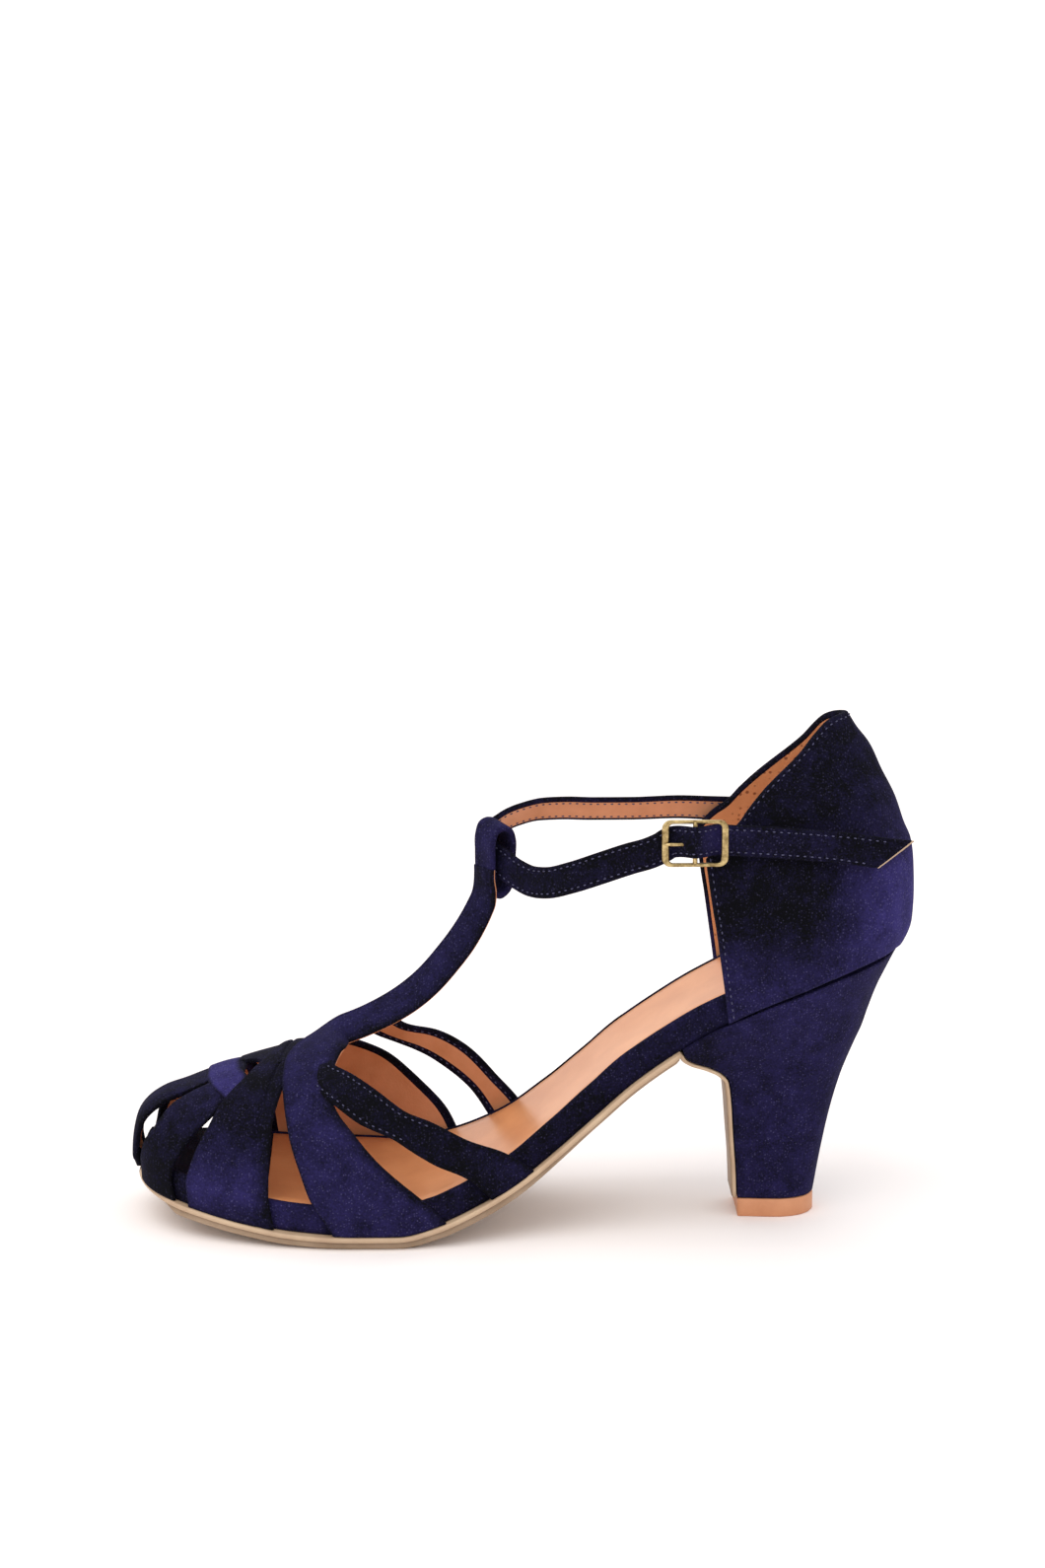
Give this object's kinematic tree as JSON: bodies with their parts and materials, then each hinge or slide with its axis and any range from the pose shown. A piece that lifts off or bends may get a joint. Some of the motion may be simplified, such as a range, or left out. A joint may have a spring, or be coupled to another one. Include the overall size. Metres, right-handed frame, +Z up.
{
  "type": "t-strap heeled shoe",
  "caption": "Left T-strap shoe with a banded open-work vamp, ankle strap with a centre-bar buckle, closed counter and flared block heel.",
  "frame": {"origin": "centre of the heel tip's ground face; the floor is z = 0", "axes": "+X from toe to heel along the foot, +Y towards the medial side (the buckle is on the -Y, lateral side), +Z up"},
  "size_m": [0.2295, 0.0818, 0.15],
  "materials": {
    "sole_leather": "smooth sole leather with a lighter trimmed edge",
    "rand_velvet": "velvet wrapped over the edge of the midsole",
    "sock_leather": "smooth tan sock lining, slightly glossy",
    "heel_velvet": "velvet wrapped over the heel block",
    "tip_rubber": "matt tan top lift",
    "vamp_velvet": "velvet outside, tan lining inside",
    "counter_velvet": "velvet outside, perforated tan lining inside",
    "strap_velvet": "velvet outside, tan lining inside, stitched edges",
    "tab_velvet": "velvet band round the buckle's bar",
    "aged_brass": "aged brass, softly polished",
    "prong_brass": "aged brass, softly polished"
  },
  "bodies": {
    "root": {"outsole": "sole_leather", "midsole": "rand_velvet", "insole_sock": "sock_leather", "heel": "heel_velvet", "heel_tip": "tip_rubber", "vamp": "vamp_velvet", "quarter": "counter_velvet", "ankle_strap": "strap_velvet", "buckle_tab": "tab_velvet", "buckle_frame": "aged_brass", "buckle_prong": "prong_brass"}
  },
  "joints": []
}
